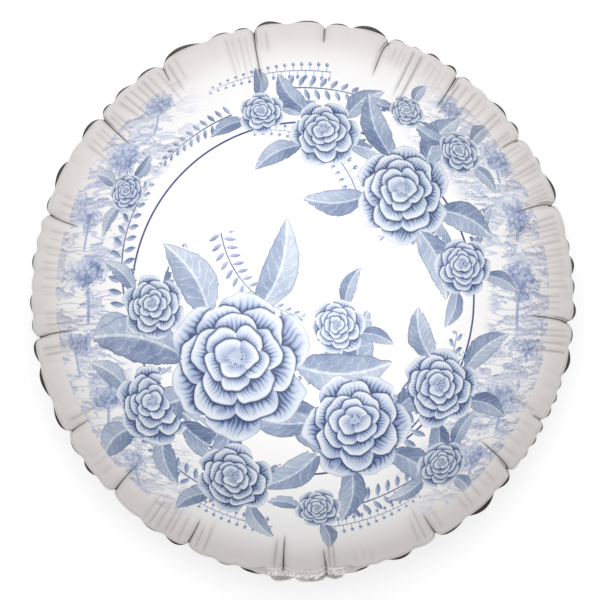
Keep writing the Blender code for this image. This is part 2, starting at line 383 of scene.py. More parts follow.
def foldDepths(azimuth, t):
    # Depth of the creases and wrinkles along the surface normal, and the soft shade in them
    depth, shade = np.zeros((2, len(azimuth)))
    if np.max(t) < pucker["innerLimit"]:
        return depth, shade
    for i, lobe in enumerate(lobes):
        d = np.radians(turnBetween(azimuth, creasePath(lobe, t))) * meanRadius
        reach = creaseReach(lobe, t)
        side = 1 if i % 3 else -1
        width = pucker["foldWidth"]
        narrow = np.exp(-((np.abs(d) / width) ** 1.5))
        valley = np.exp(-((d / pucker["valleyWidth"]) ** 2))
        depth += pucker["foldDepth"] * reach * (0.4 + 0.6 * t ** 16) * narrow
        depth += pucker["valleyDepth"] * reach * valley
        depth -= pucker["lip"] * reach * np.exp(-(((d - side * 2.6 * width) / (1.6 * width)) ** 2))
        shade = np.maximum(shade, 0.4 * reach * valley)
    for wrinkle in wrinkles:
        width, side = pucker["wrinkleWidth"] * wrinkle[4], wrinkle[5]
        d = np.radians(turnBetween(azimuth, wrinklePath(wrinkle, t))) * meanRadius
        reach = wrinkleReach(wrinkle, t)
        line = np.exp(-((d / width) ** 2))
        ridge = np.exp(-(((d - side * 1.8 * width) / (1.2 * width)) ** 2))
        depth += pucker["wrinkleDepth"] * reach * (line - 0.7 * ridge)
        shade = np.maximum(shade, 0.40 * reach * np.exp(-((d / (1.1 * width)) ** 2)))
    return depth, shade


def offTail(azimuth):
    # 0 where the tail leaves the band, 1 away from it
    return smoothStep(halfTail, halfTail + 4, np.abs(turnBetween(azimuth, tail["azimuth"])))


def edgeOffset(azimuth):
    # How far the seam stands out from the plain oval
    index, along = lobeCoordinates(azimuth)
    near = np.radians(np.minimum(along, 1 - along) * creaseSpan[index]) * meanRadius
    lobe = 1 - np.exp(-near / pucker["lobeShoulder"])
    wave, scallop = scallopWave(azimuth)
    a = np.radians(azimuth)
    spread = pucker["spreadAcross"] * np.cos(a) ** 2 + pucker["spreadAlong"] * np.sin(a) ** 2
    rise = pucker["lobeRise"] * (lobe - 0.75)
    rise += pucker["scallopRise"] * (wave * scallopSize[scallop] - 0.6)
    return rise + spread * offTail(azimuth)


def nearEdge(t, reach):
    return smoothStep(1 - reach / meanRadius, 1, t)


def seamLift(azimuth, t):
    index, along = lobeCoordinates(azimuth)
    side = np.where(index % 2, 1.0, -1.0)
    wave, scallop = scallopWave(azimuth)
    ripple = wave * scallopSize[scallop] - 0.5
    lift = pucker["seamWave"] * (0.7 * side * np.sin(np.pi * along) ** 2 + ripple)
    return lift * offTail(azimuth) * nearEdge(t, pucker["edgeReach"])


def bodySurface(azimuth, t, side):
    # Places on the filled surface; side is 1 for the front and -1 for the back
    fade = nearEdge(t, pucker["edgeReach"])
    along = lobeCoordinates(azimuth)[1]
    swell = nearEdge(t, pucker["bulgeReach"]) * smoothStep(1.0, 0.99, t)
    depth, shade = foldDepths(azimuth, t)
    out = pucker["lobeBulge"] * swell * (1 - (2 * along - 1) ** 2) - depth
    edge = np.sqrt(np.maximum(1 - t ** 4, 1e-9))
    slope = squash * t * t / edge
    size = np.hypot(slope, 1)
    r = seamRadius(azimuth) * t + edgeOffset(azimuth) * fade + out * slope / size
    height = np.interp(1 - t, 1 - tableU, tableHeight) * meanRadius
    z = side * (height + out / size + layer) + seamLift(azimuth, t)
    return r, z, shade


def asPlaces(azimuth, r, z):
    a = np.radians(azimuth)
    return np.stack([r * np.cos(a), r * np.sin(a), z + seamLevel], axis=-1)


class Sheet:
    # Gathers the points and faces of one sheet of film. Beside each point it keeps the place
    # on the flat disc, and the azimuth, the share of the radius and the soft shade there
    def __init__(self):
        self.points = []
        self.flat = []
        self.where = []
        self.faces = []
        self.sorts = []
        self.count = 0

    def add(self, points, flat, where=None):
        first = self.count
        self.points.append(points)
        self.flat.append(flat)
        self.where.append(np.zeros((len(points), 3)) if where is None else where)
        self.count += len(points)
        return np.arange(first, self.count)

    def face(self, *corners, sort="skin"):
        self.faces.append([int(corner) for corner in corners])
        self.sorts.append(sort)

    def strip(self, a, b, closed=True, sort="skin"):
        n = len(a)
        for k in range(n if closed else n - 1):
            m = (k + 1) % n
            self.face(a[k], a[m], b[m], b[k], sort=sort)

    def doubled(self, fine, coarse):
        n = len(coarse)
        for k in range(n):
            m = (k + 1) % n
            left, middle, right = fine[2 * k], fine[2 * k + 1], fine[(2 * k + 2) % len(fine)]
            self.face(left, middle, coarse[k])
            self.face(middle, coarse[m], coarse[k])
            self.face(middle, right, coarse[m])

    def joined(self, a, shareA, b, shareB, sort):
        # Between two open rows with differing numbers of points
        i = j = 0
        while i < len(a) - 1 or j < len(b) - 1:
            if j == len(b) - 1 or (i < len(a) - 1 and shareA[i + 1] <= shareB[j + 1]):
                self.face(a[i], a[i + 1], b[j], sort=sort)
                i += 1
            else:
                self.face(a[i], b[j + 1], b[j], sort=sort)
                j += 1

    def fan(self, ring, middle, sort="skin"):
        n = len(ring)
        for k in range(n):
            self.face(ring[k], ring[(k + 1) % n], middle, sort=sort)


def flatPlaces(azimuth, distance, kind=0.0):
    # Where a point lies on the flat disc before filling. The third number is 0 on the
    # outward side, 1 or 1.2 on the two sides of the tail, and 2 on the inward side
    a = np.radians(azimuth)
    return np.stack([distance * np.cos(a), distance * np.sin(a), np.full_like(a, kind)], axis=-1)


def tailPath(radius):
    lean = math.radians(tail["leanDegrees"])
    edge = body["along"] + body["band"]
    out = edge + tail["reach"] - tail["foldRadius"]
    level = layer - tail["foldRadius"]
    steps = tail["rootRows"] + 1
    rows = [(edge + (out - edge) * k / steps, level + radius) for k in range(1, steps)]
    for k in range(tail["foldRows"] + 1):
        a = math.pi / 2 - (math.pi / 2 + lean) * k / tail["foldRows"]
        rows.append((out + radius * math.cos(a), level + radius * math.sin(a)))
    q, z = rows[-1]
    for k in range(1, tail["hangRows"] + 1):
        run = tail["length"] * k / tail["hangRows"]
        rows.append((q - run * math.sin(lean), z - run * math.cos(lean)))
    return rows


def crinkleAt(x, run):
    # Crossing creases of thin film, as a height. Close to the root they are finer
    coarse = ((0.3, 0.009, 0.1), (1.2, 0.0065, 1.7), (2.2, 0.0047, 0.6), (2.9, 0.011, 2.4))
    fine = ((0.7, 0.0026, 0.5), (1.7, 0.0021, 1.1), (2.5, 0.0031, 0.2))
    height = 0
    crumple = tail["crumple"] * math.exp(-((run / tail["crumpleReach"]) ** 2))
    for creases, size in ((coarse, tail["crinkle"]), (fine, crumple)):
        for turn, pitch, shift in creases:
            along = (x * math.cos(turn) + run * math.sin(turn)) / pitch + shift
            height = height + size * 0.5 * (np.abs(along % 2 - 1) - 0.5)
    return height


def pleatAt(share):
    # How full the gathered tail stands across its width, 1 at the top of the fullest pleat
    full = 0.3 * np.clip((1 - np.abs(share)) / 0.3, 0, 1)
    for middle, half, height in tail["pleats"]:
        full = np.maximum(full, height * np.sqrt(np.maximum(1 - ((share - middle) / half) ** 2, 0)))
    return full


def growTail(sheet, side, angles, seam, edgeOut, edgeIn):
    # The tail runs out of the band, folds over and hangs down
    offsets = turnBetween(angles, tail["azimuth"])
    atTail = np.flatnonzero(np.abs(offsets) <= halfTail)
    inTail = set(atTail)
    for k in range(len(angles)):
        m = (k + 1) % len(angles)
        if not (k in inTail and m in inTail):
            sheet.face(edgeIn[k], edgeIn[m], edgeOut[m], edgeOut[k], sort="rim")
    outer = tail["foldRadius"] if side > 0 else tail["foldRadius"] - body["film"] - body["gap"]
    edge = body["along"] + body["band"]
    half = tail["width"] / 2
    share = np.linspace(-1, 1, tail["columns"] + 1)
    edgeShare = offsets[atTail] / halfTail
    x = body["along"] * math.cos(math.radians(tail["azimuth"])) + share * half
    full = pleatAt(share)
    bandY = (seam[atTail] + body["band"]) * np.abs(np.sin(np.radians(angles[atTail])))
    edgeY = np.interp(share, edgeShare, bandY)
    past = np.clip(np.abs(share) * half - half + tail["corner"], 0, tail["corner"])
    rounding = tail["corner"] - np.sqrt(tail["corner"] ** 2 - past ** 2)
    lean = math.radians(tail["leanDegrees"])
    rowsOut, rowsIn = [edgeOut[atTail]], [edgeIn[atTail]]
    outKind = 1.0
    if side < 0:
        rowsOut, rowsIn = rowsIn, rowsOut
        outKind = 1.2
    path, under = tailPath(outer), tailPath(outer - body["film"])
    travelled, last = 0, (edge, path[0][1])
    for k, ((q, z), (qIn, zIn)) in enumerate(zip(path, under)):
        travelled += math.hypot(q - last[0], z - last[1])
        last = (q, z)
        settle = min(1, (k + 1) / tail["rootRows"])
        lasting = 1 - (1 - tail["pleatLasting"]) * smoothStep(0.015, 0.055, travelled)
        hung = max(0, k + 1 - len(path) + tail["hangRows"]) / tail["hangRows"]
        outQ, outZ = (q - qIn) / body["film"], (z - zIn) / body["film"]
        crinkle = crinkleAt(x, travelled)
        bump = settle * crinkle
        shift = (edgeY - edge) * (1 - settle) + tail["pleatDepth"] * (full - 1) * settle * lasting
        # Painted shade in the valleys between the pleats and in the hollows of the crinkles
        shade = 0.55 * lasting * (1 - full) + 0.7 * np.clip(0.2 - crinkle / tail["crinkle"], 0, 1)
        where = np.stack([offsets[atTail[0]] + 0 * x, 1 + 0 * x, settle * shade], axis=-1)
        sink = tail["dip"] * (1 - full) * math.sin(math.pi * min(1, travelled / 0.014))
        shift = shift + outQ * bump + rounding * hung * math.sin(lean)
        lift = outZ * bump - sink + rounding * hung * math.cos(lean) + seamLevel
        for rows, kind, (a, b) in ((rowsOut, outKind, (q, z)), (rowsIn, 2.2 - outKind, (qIn, zIn))):
            places = np.stack([x, -(a + shift), b + lift], axis=-1)
            flatY = np.full_like(x, -(flatRadius + body["band"] + travelled))
            flat = np.stack([x, flatY, np.full_like(x, kind)], axis=-1)
            rows.append(sheet.add(places, flat, where))
    for rows, sort in ((rowsOut, "tailOut"), (rowsIn, "tailIn")):
        sheet.joined(rows[0], edgeShare, rows[1], share, sort)
        for a, b in zip(rows[1:], rows[2:]):
            sheet.strip(a, b, closed=False, sort=sort)
    sheet.strip(rowsOut[-1], rowsIn[-1], closed=False, sort="tailEdge")
    for column in (0, -1):
        sideOut, sideIn = ([row[column] for row in rows] for rows in (rowsOut, rowsIn))
        sheet.strip(sideOut, sideIn, closed=False, sort="tailEdge")


def growBody(sheet, side, columns):
    # The filled skin, ring by ring from the pole out to the seam
    first, second = meshSize["firstDouble"], meshSize["secondDouble"]
    shares = [
        (columns, np.linspace(0, first, meshSize["innerRows"] + 1)[1:]),
        (2 * columns, np.linspace(first, second, meshSize["middleRows"] + 1)[1:]),
        (4 * columns, np.linspace(second, 1, meshSize["outerRows"] + 1)[1:]),
    ]
    poleHeight = side * (halfHeight + layer)
    if side < 0:
        poleHeight = max(poleHeight, -seamLevel)
    pole = sheet.add(np.array([[0, 0, poleHeight + seamLevel]]), np.zeros((1, 3)))[0]
    previous = None
    for count, rings in shares:
        for share in rings:
            t = float(shareAtArc(share))
            angles = columnAngles(count, t)
            r, z, shade = bodySurface(angles, np.full(count, t), side)
            if side < 0:
                z = np.maximum(z, -seamLevel)
            where = np.stack([angles, np.full(count, t), shade], axis=-1)
            ring = sheet.add(asPlaces(angles, r, z), flatPlaces(angles, share * flatRadius), where)
            if previous is None:
                sheet.fan(ring, pole)
            elif len(previous) == count:
                sheet.strip(ring, previous)
            else:
                sheet.doubled(ring, previous)
            previous = ring
    return angles, previous


def growBand(sheet, side, angles, seamRing):
    # The welded band droops, so that it follows the flank. The silver sheet's own rim
    # flares out past it at the top of each scallop
    wave, scallop = scallopWave(angles)
    ones = np.ones(len(angles))
    depth, shade = foldDepths(angles, ones)
    seam = seamRadius(angles) + edgeOffset(angles) - depth
    lift = seamLift(angles, ones)
    droop = np.radians(body["bandDroop"]) * offTail(angles)
    margin = body["film"] / 2 + rimShown[scallop] * offTail(angles) * np.clip(wave - 0.15, 0, 1) / 0.85
    where = np.stack([angles, ones, shade], axis=-1)

    def bandRing(share, flare, offset, kind):
        run = body["band"] * share
        r = seam + run * np.cos(droop) + offset * np.sin(droop) * min(share * 4, 1) + flare * margin
        upright = np.cos(droop) if share else 1
        z = lift - run * np.sin(droop) + offset * upright - 0.25 * flare * margin
        flat = flatPlaces(angles, flatRadius + run + flare * margin, kind)
        if kind == 0 and share > 0.2:
            flat[:, 2] = 1 - offTail(angles)
        return sheet.add(asPlaces(angles, r, z), flat, where)

    rows = [(0.3, 0), (0.6, 0), (0.85, 0), (1, 0)]
    if side < 0:
        rows += [(1, 0.5), (1, 1)]
    previous = seamRing
    for share, flare in rows:
        ring = bandRing(share, flare, side * layer, 0.0)
        sheet.strip(ring, previous)
        previous = ring
    inward = [bandRing(share, flare, side * body["gap"] / 2, 2.0) for share, flare in [(0, 0)] + rows]
    for a, b in zip(inward, inward[1:]):
        sheet.strip(a, b, sort="inside")
    innerLevel = side * body["gap"] / 2 + seamLevel
    middle = sheet.add(np.array([[0, 0, innerLevel]]), np.array([[0, 0, 2.0]]))[0]
    sheet.fan(inward[0], middle, sort="inside")
    return seam, previous, inward[-1]


class SheetCorners:
    # The corners of a sheet's faces as arrays, for what is kept at corners
    def __init__(self, mesh, flat, where, sorts):
        self.mesh = mesh
        self.vertex = np.empty(len(mesh.loops), dtype=np.int32)
        mesh.loops.foreach_get("vertex_index", self.vertex)
        self.start = np.empty(len(mesh.polygons), dtype=np.int32)
        mesh.polygons.foreach_get("loop_start", self.start)
        self.size = np.diff(np.append(self.start, len(self.vertex)))
        self.face = np.repeat(np.arange(len(self.start)), self.size)
        self.x, self.y, self.kind = flat[self.vertex].T
        azimuth, self.t = where[self.vertex, :2].T
        first = azimuth[self.start][self.face]
        self.azimuth = first + turnBetween(azimuth, first)
        self.sort = np.array(sorts)[self.face]

    def middle(self, values):
        return np.add.reduceat(values, self.start) / self.size


def besidePath(lobe, beside, t):
    return creasePath(lobe, t) - beside


def besideReach(t):
    return 0.7 * smoothStep(0.92, 0.96, t)


def foldShadeLines():
    # The painted shadow lines of the creases and wrinkles: where each runs and how strong it is,
    # both by the share of the radius, then its width, and 1 for a crease. A long crease has a
    # second painted line beside it near the rim
    found = []
    creaseShadowLine = pucker["pinchWidth"]
    for i, lobe in enumerate(lobes):
        side = 1 if i % 3 else -1
        found.append((partial(creasePath, lobe), partial(creaseReach, lobe), creaseShadowLine, 1.0))
        if lobe[1] > pucker["longCrease"]:
            beside = side * math.degrees(3.2 * creaseShadowLine / meanRadius)
            found.append((partial(besidePath, lobe, beside), besideReach, creaseShadowLine, 1.0))
    for wrinkle in wrinkles:
        width = pucker["wrinkleLine"] * wrinkle[4]
        found.append((partial(wrinklePath, wrinkle), partial(wrinkleReach, wrinkle), width, 0.0))
    return found


def markFolds(corners):
    # Each face near a crease or wrinkle keeps how far its corners lie off that painted shadow
    # line, in widths of the line, then how strong the line is there, and 1 for a crease
    lines = foldShadeLines()
    faceAzimuth, faceT = corners.middle(corners.azimuth), corners.middle(corners.t)
    nearRim = np.flatnonzero(faceT > pucker["innerLimit"])
    best = np.full(len(nearRim), 0.02)
    owner = np.full(len(faceT), -1)
    for k, (path, reach, width, crease) in enumerate(lines):
        t = faceT[nearRim]
        d = np.radians(turnBetween(faceAzimuth[nearRim], path(t))) * meanRadius
        presence = reach(t) * np.exp(-((d / (2.5 * width)) ** 2)) * (1 + crease)
        mine = presence > best
        best[mine] = presence[mine]
        owner[nearRim[mine]] = k
    found = np.zeros((len(corners.x), 3))
    found[:, 0] = 9
    for k, (path, reach, width, crease) in enumerate(lines):
        mine = (owner == k)[corners.face]
        t = corners.t[mine]
        d = np.radians(turnBetween(corners.azimuth[mine], path(t))) * meanRadius / width
        found[mine] = np.stack([d, reach(t), np.full_like(t, crease)], axis=-1)
    keepAttribute(corners.mesh, "foldLine", found, "CORNER")


# Where the sides of a sheet lie on its texture
spread = {
    "skinRadius": 0.465,  # the outward side fills the middle
    "insidePlace": (0.075, 0.925),
    "insideRadius": 0.035,
    "bandWidth": 0.025,
    "rimWidth": 0.008,
    "tailPlace": (0.925, 0.13),
    "tailInsidePlace": (0.075, 0.13),
    "tailScale": 1.5,
    "tailEdge": 0.006,
}


def spreadOut(corners):
    # A flat layout of the sheet in the map OFBake, with no face over another
    reach = np.hypot(corners.x, corners.y)
    edge = flatRadius + body["band"]
    uv = 0.5 + np.stack([corners.x, corners.y], axis=-1) * spread["skinRadius"] / (edge + 0.005)
    inside = (corners.sort == "inside") | (corners.sort == "rim")
    over = np.clip(reach - flatRadius, 0, None) / 0.009
    radius = spread["insideRadius"] * np.clip(reach / flatRadius, 0, 1) + spread["bandWidth"] * over
    radius += spread["rimWidth"] * ((corners.sort == "rim") & (corners.kind < 1.5))
    turned = np.arctan2(corners.y, corners.x)
    ring = np.stack([np.cos(turned), np.sin(turned)], axis=-1) * radius[:, None] + spread["insidePlace"]
    uv[inside] = ring[inside]
    run = -corners.y - edge
    places = {"tailOut": "tailPlace", "tailIn": "tailInsidePlace", "tailEdge": "tailInsidePlace"}
    for sort, place in places.items():
        mine = corners.sort == sort
        u = spread[place][0] + corners.x * spread["tailScale"]
        v = spread[place][1] - run * spread["tailScale"]
        if sort == "tailEdge":
            onOut = corners.kind < 1.1
            isEnd = np.abs(corners.middle(run) - run.max()) < 1e-4
            isEnd = isEnd[corners.face]
            u = u + onOut * ~isEnd * np.sign(corners.x) * spread["tailEdge"]
            v = v - onOut * isEnd * spread["tailEdge"]
        uv[mine] = np.stack([u, v], axis=-1)[mine]
    layout = corners.mesh.uv_layers.new(name="OFBake")
    layout.data.foreach_set("uv", uv.astype(np.float32).ravel())


def buildSheet(name, side, columns):
    sheet = Sheet()
    angles, seamRing = growBody(sheet, side, columns)
    seam, edgeOut, edgeIn = growBand(sheet, side, angles, seamRing)
    growTail(sheet, side, angles, seam, edgeOut, edgeIn)
    points, flat, where = (np.concatenate(part) for part in (sheet.points, sheet.flat, sheet.where))
    mesh = bpy.data.meshes.new(name)
    mesh.from_pydata(points.tolist(), [], sheet.faces)
    turnOutward(mesh)
    mesh.shade_smooth()
    mesh.set_sharp_from_angle(angle=math.radians(70))
    keepAttribute(mesh, "flatPlace", flat)
    keepAttribute(mesh, "softShade", np.repeat(where[:, 2:], 3, axis=1))
    corners = SheetCorners(mesh, flat, where, sheet.sorts)
    markFolds(corners)
    spreadOut(corners)
    piece = bpy.data.objects.new(name, mesh)
    bpy.context.scene.collection.objects.link(piece)
    print(f"{name}: {len(points)} points, {len(sheet.faces)} faces")
    return piece, corners


def keepAttribute(mesh, name, values, domain="POINT"):
    kept = mesh.attributes.new(name, "FLOAT_VECTOR", domain)
    kept.data.foreach_set("vector", values.astype(np.float32).ravel())


def turnOutward(mesh):
    work = bmesh.new()
    work.from_mesh(mesh)
    bmesh.ops.recalc_face_normals(work, faces=work.faces[:])
    work.to_mesh(mesh)
    work.free()


frontFoil, frontCorners = buildSheet("frontSheet", 1, meshSize["frontColumns"])
backFoil = buildSheet("backSheet", -1, meshSize["backColumns"])[0]

# The printed picture: a spray of flowers and leaves in blues, inside a thin ring, with a
# border of trees and foliage. Lengths are on the flat disc before filling, in metres

picture = {
    "edge": 0.1755,  # the print stops here, short of the weld
    "ring": 0.1110,
    "ringLine": 0.0006,
    "borderFrom": 0.1120,
    "margin": 0.06,  # how far a motif keeps others off, as a share of its size
}

# Flowers, the topmost first: x, y, radius, and how many leaves it has
flowers = [
    (-0.040, -0.042, 0.0500, 7), (0.064, 0.066, 0.0340, 5), (0.034, -0.080, 0.0370, 6),
    (0.014, 0.104, 0.0240, 4), (-0.096, -0.070, 0.0290, 5), (-0.096, -0.006, 0.0230, 4),
    (0.088, -0.058, 0.0280, 5), (-0.044, -0.116, 0.0270, 4), (0.104, 0.020, 0.0210, 4),
    (0.092, -0.110, 0.0190, 3), (-0.026, 0.118, 0.0160, 3), (0.104, 0.096, 0.0170, 3),
    (0.022, -0.018, 0.0190, 3), (0.010, -0.136, 0.0160, 3), (-0.116, 0.070, 0.0140, 3),
    (0.068, 0.122, 0.0130, 3),
]

# Trees of the border: azimuth, distance out, and half their height
trees = [
    (2, 0.146, 0.030), (19, 0.152, 0.026), (34, 0.160, 0.024), (52, 0.160, 0.018),
    (128, 0.160, 0.020), (144, 0.150, 0.027), (160, 0.156, 0.024), (176, 0.146, 0.031),
    (192, 0.158, 0.024), (208, 0.150, 0.027), (225, 0.162, 0.018), (316, 0.160, 0.019),
    (331, 0.150, 0.026), (347, 0.158, 0.024),
]

# Leafy stems, and stems of berries: the middle of the arc they follow as x and y, its
# radius, the azimuth they start from, how far they run round, and the length of a leaf
leafStems = [
    (-0.030, 0.020, 0.088, 205, -62, 0.0115), (0.000, -0.010, 0.100, 300, 52, 0.0120),
    (0.010, 0.050, 0.062, 190, 70, 0.0085), (0.000, 0.000, 0.138, 252, -34, 0.0105),
    (0.000, 0.000, 0.138, 284, 34, 0.0105), (0.000, 0.000, 0.136, 96, -30, 0.0100),
    (0.060, -0.020, 0.060, 40, 60, 0.0080), (0.000, 0.000, 0.126, 112, 24, 0.0080),
]
berryStems = [
    (0.030, 0.010, 0.062, 215, 70, 0.0085), (-0.020, 0.050, 0.056, 20, 80, 0.0080),
    (0.060, -0.020, 0.046, 250, 90, 0.0072), (0.000, 0.000, 0.152, 262, -24, 0.0080),
    (0.000, 0.000, 0.152, 276, 24, 0.0080), (0.000, 0.000, 0.150, 84, 30, 0.0080),
]


def makeLeaves():
    # Broad leaves fan out behind each flower, away from the middle of the picture:
    # foot x and y, direction in radians, length and half width
    found = []
    for x, y, size, count in flowers:
        outward = math.atan2(y + 0.010, x)
        for k in range(count):
            spread = (k - (count - 1) / 2) * 2 * math.pi / (count + 0.6)
            direction = outward + spread + rng.uniform(-0.22, 0.22)
            length = size * rng.uniform(0.95, 1.30) + 0.006
            foot = 0.70 * size
            footX, footY = x + foot * math.cos(direction), y + foot * math.sin(direction)
            found.append((footX, footY, direction, length, length * rng.uniform(0.20, 0.26)))
    return found


def inFlower(motif, x, y):
    # Sideways and up in shares of the radius, and how near the outline, 1 on it
    u, v = (x - motif[0]) / motif[2], (y - motif[1]) / motif[2]
    return u, v, np.hypot(u, v) / 0.98


def leafShape(along):
    return np.maximum(np.sin(np.pi * np.clip(along, 0, 1) ** 0.82), 0) ** 0.85 * 0.94


def inLeaf(motif, x, y):
    # Along a leaf from 0 to 1 and across it from -1 to 1, following its bend
    footX, footY, direction, length, half = motif
    c, s = math.cos(direction), math.sin(direction)
    along = ((x - footX) * c + (y - footY) * s) / length
    bend = 0.10 * length * np.sin(np.pi * np.clip(along, 0, 1)) * (1 if footX > 0 else -1)
    across = ((y - footY) * c - (x - footX) * s - bend) / half
    reach = np.maximum(np.abs(across) / (leafShape(along) + 0.02), np.abs(along - 0.5) * 2)
    return along, across, reach


def inStem(motif, x, y):
    # Leaves counted along the stem, and leaf lengths away from it; leaves shrink to its tip
    middleX, middleY, radius, start, turn, leaf = motif
    whole = math.radians(abs(turn)) * radius
    gone = turnBetween(np.degrees(np.arctan2(y - middleY, x - middleX)), start) * np.sign(turn)
    share = np.radians(np.where(gone < -90, gone + 360, gone)) * radius / whole
    size = leaf * (1.05 - 0.70 * np.clip(share, 0, 1) ** 1.5)
    across = (np.hypot(x - middleX, y - middleY) - radius) / size
    reach = np.maximum(np.abs(share - 0.5) * 2, np.abs(across) / 1.06)
    return share * whole / (0.68 * leaf), across, reach


def inTree(motif, x, y):
    azimuth, distance, half = motif
    u = (x - distance * math.cos(math.radians(azimuth))) / half
    v = (y - distance * math.sin(math.radians(azimuth))) / half
    return u, v, np.maximum(np.abs(u) / 0.95, np.abs(v) / 1.05)


def layMotifs(corners, name, motifs, place):
    # Each face belongs to the topmost motif over it, and its corners keep their places
    # in that motif; the third number is the motif's own, to vary its look
    faceX, faceY = corners.middle(corners.x), corners.middle(corners.y)
    printable = corners.middle(corners.kind) < 0.5
    owner = np.full(len(faceX), -1)
    found = np.full((len(corners.x), 3), 9.0)
    for k, motif in enumerate(motifs):
        reach = place(motif, faceX, faceY)[2]
        owner[(reach < 1 + picture["margin"]) & (owner < 0) & printable] = k
    for k, motif in enumerate(motifs):
        mine = (owner == k)[corners.face]
        u, v, reach = place(motif, corners.x[mine], corners.y[mine])
        found[mine] = np.stack([u, v, np.full_like(u, (k * 0.37) % 1)], axis=-1)
    keepAttribute(corners.mesh, name, found, "CORNER")


leaves = makeLeaves()
layMotifs(frontCorners, "flowerPlace", flowers[0::2], inFlower)
layMotifs(frontCorners, "underFlower", flowers[1::2], inFlower)
layMotifs(frontCorners, "leafPlace", leaves[0::2], inLeaf)
layMotifs(frontCorners, "underLeaf", leaves[1::2], inLeaf)
layMotifs(frontCorners, "stemPlace", leafStems, inStem)
layMotifs(frontCorners, "berryPlace", berryStems, inStem)
layMotifs(frontCorners, "treePlace", trees, inTree)
print("picture laid out")

# Materials


def srgb(code):
    # Linear colour of a six-digit screen colour
    parts = [int(code[k:k + 2], 16) / 255 for k in (0, 2, 4)]
    return tuple(v / 12.92 if v <= 0.04045 else ((v + 0.055) / 1.055) ** 2.4 for v in parts)


class Value:
    # One socket of a shader, so that its maths reads as Python
    def __init__(self, graph, socket):
        self.graph = graph
        self.socket = socket

    def math(self, operation, *others):
        return self.graph.add("ShaderNodeMath", {"operation": operation}, [self, *others])

    def __add__(self, other):
        return self.math("ADD", other)

    def __sub__(self, other):
        return self.math("SUBTRACT", other)

    def __rsub__(self, other):
        return self.graph.add("ShaderNodeMath", {"operation": "SUBTRACT"}, [other, self])

    def __mul__(self, other):
        return self.math("MULTIPLY", other)

    def __truediv__(self, other):
        return self.math("DIVIDE", other)

    def __pow__(self, other):
        return self.math("POWER", other)

    def __abs__(self):
        return self.math("ABSOLUTE")

    __radd__ = __add__
    __rmul__ = __mul__

    def sine(self):
        return self.math("SINE")

    def fract(self):
        return self.math("FRACT")

    def above(self, limit):
        return self.math("GREATER_THAN", limit)

    def below(self, limit):
        return self.math("LESS_THAN", limit)

    def greater(self, other):
        return self.math("MAXIMUM", other)

    def clamped(self):
        return self.greater(0).math("MINIMUM", 1)

    def ramp(self, low, high):
        # 0 at low and 1 at high, eased; low may be the greater
        settings = {"interpolation_type": "SMOOTHSTEP"}
        return self.graph.add("ShaderNodeMapRange", settings, [self, low, high, 0, 1])

    def parts(self):
        node = self.graph.add("ShaderNodeSeparateXYZ", None, [self]).socket.node
        return [Value(self.graph, out) for out in node.outputs]


class Graph:
    # The nodes of one material
    def __init__(self, name):
        self.material = bpy.data.materials.new(name)
        self.material.use_nodes = True
        self.tree = self.material.node_tree
        self.surface = self.tree.nodes["Principled BSDF"]

    def add(self, kind, settings=None, values=(), output=0):
        # settings are set first; values go to the sockets in turn, or by name or number
        node = self.tree.nodes.new(kind)
        for key, setting in (settings or {}).items():
            if key == "stops":
                self.setStops(node.color_ramp, setting)
            else:
                setattr(node, key, setting)
        for key, value in values.items() if isinstance(values, dict) else enumerate(values):
            self.join(value, node.inputs[key])
        return Value(self, node.outputs[output])

    def setStops(self, ramp, stops):
        while len(ramp.elements) < len(stops):
            ramp.elements.new(0.5)
        for element, (position, colour) in zip(ramp.elements, stops):
            element.position = position
            element.color = (*colour, 1)

    def join(self, value, socket):
        if isinstance(value, Value):
            self.tree.links.new(value.socket, socket)
        elif value is not None:
            isColour = isinstance(value, tuple) and len(value) == 3
            socket.default_value = (*value, 1) if isColour else value

    def attribute(self, name):
        return self.add("ShaderNodeAttribute", {"attribute_name": name}, (), "Vector")

    def vector(self, x, y, z=0.0):
        return self.add("ShaderNodeCombineXYZ", None, [x, y, z])

    def noise(self, vector, scale, detail=3, rough=0.5, output=0):
        values = {"Vector": vector, "Scale": scale, "Detail": detail, "Roughness": rough}
        return self.add("ShaderNodeTexNoise", None, values, output)

    def cells(self, vector, scale, feature="F1"):
        values = {"Vector": vector, "Scale": scale}
        return self.add("ShaderNodeTexVoronoi", {"feature": feature}, values)

    def mix(self, amount, first, second):
        return self.add("ShaderNodeMix", {"data_type": "RGBA"}, {0: amount, 6: first, 7: second}, 2)

    def bump(self, height, strength, distance, normal=None):
        values = {"Strength": strength, "Distance": distance, "Height": height, "Normal": normal}
        return self.add("ShaderNodeBump", None, values)

    def finish(self, **sockets):
        names = {"colour": "Base Color", "rough": "Roughness", "metal": "Metallic", "normal": "Normal",
                 "specular": "Specular IOR Level"}
        for key, value in sockets.items():
            self.join(value, self.surface.inputs[names[key]])
        return self.material


# The blues of the print, from bare paper to the darkest line
inks = {
    "paper": srgb("FCFBFB"),
    "line": srgb("39456C"),
    "ring": srgb("46558C"),
    "blue": [(0.0, srgb("FAFAFC")), (0.25, srgb("DAE2F1")), (0.50, srgb("AFBCDC")),
             (0.75, srgb("7C8EBE")), (1.0, srgb("445382"))],
    "slate": [(0.0, srgb("EFF2F6")), (0.25, srgb("C9D3E1")), (0.50, srgb("A0ADC4")),
              (0.75, srgb("6E7F9F")), (1.0, srgb("384666"))],
}


def inkColour(g, tone, cool):
    blue = g.add("ShaderNodeValToRGB", {"stops": inks["blue"]}, [tone])
    slate = g.add("ShaderNodeValToRGB", {"stops": inks["slate"]}, [tone])
    return g.mix(cool, blue, slate)


# Rings of a flower's petals from the outside in: radius, petals, turn, and how far the
# ring's middle lies off the flower's, because the flower is seen a little from below
petalRings = [
    (0.93, 6, 0.10, 0.00), (0.76, 6, 0.58, 0.03), (0.58, 5, 0.22, 0.06), (0.42, 5, 0.70, 0.085),
    (0.27, 3, 0.35, 0.10),
]


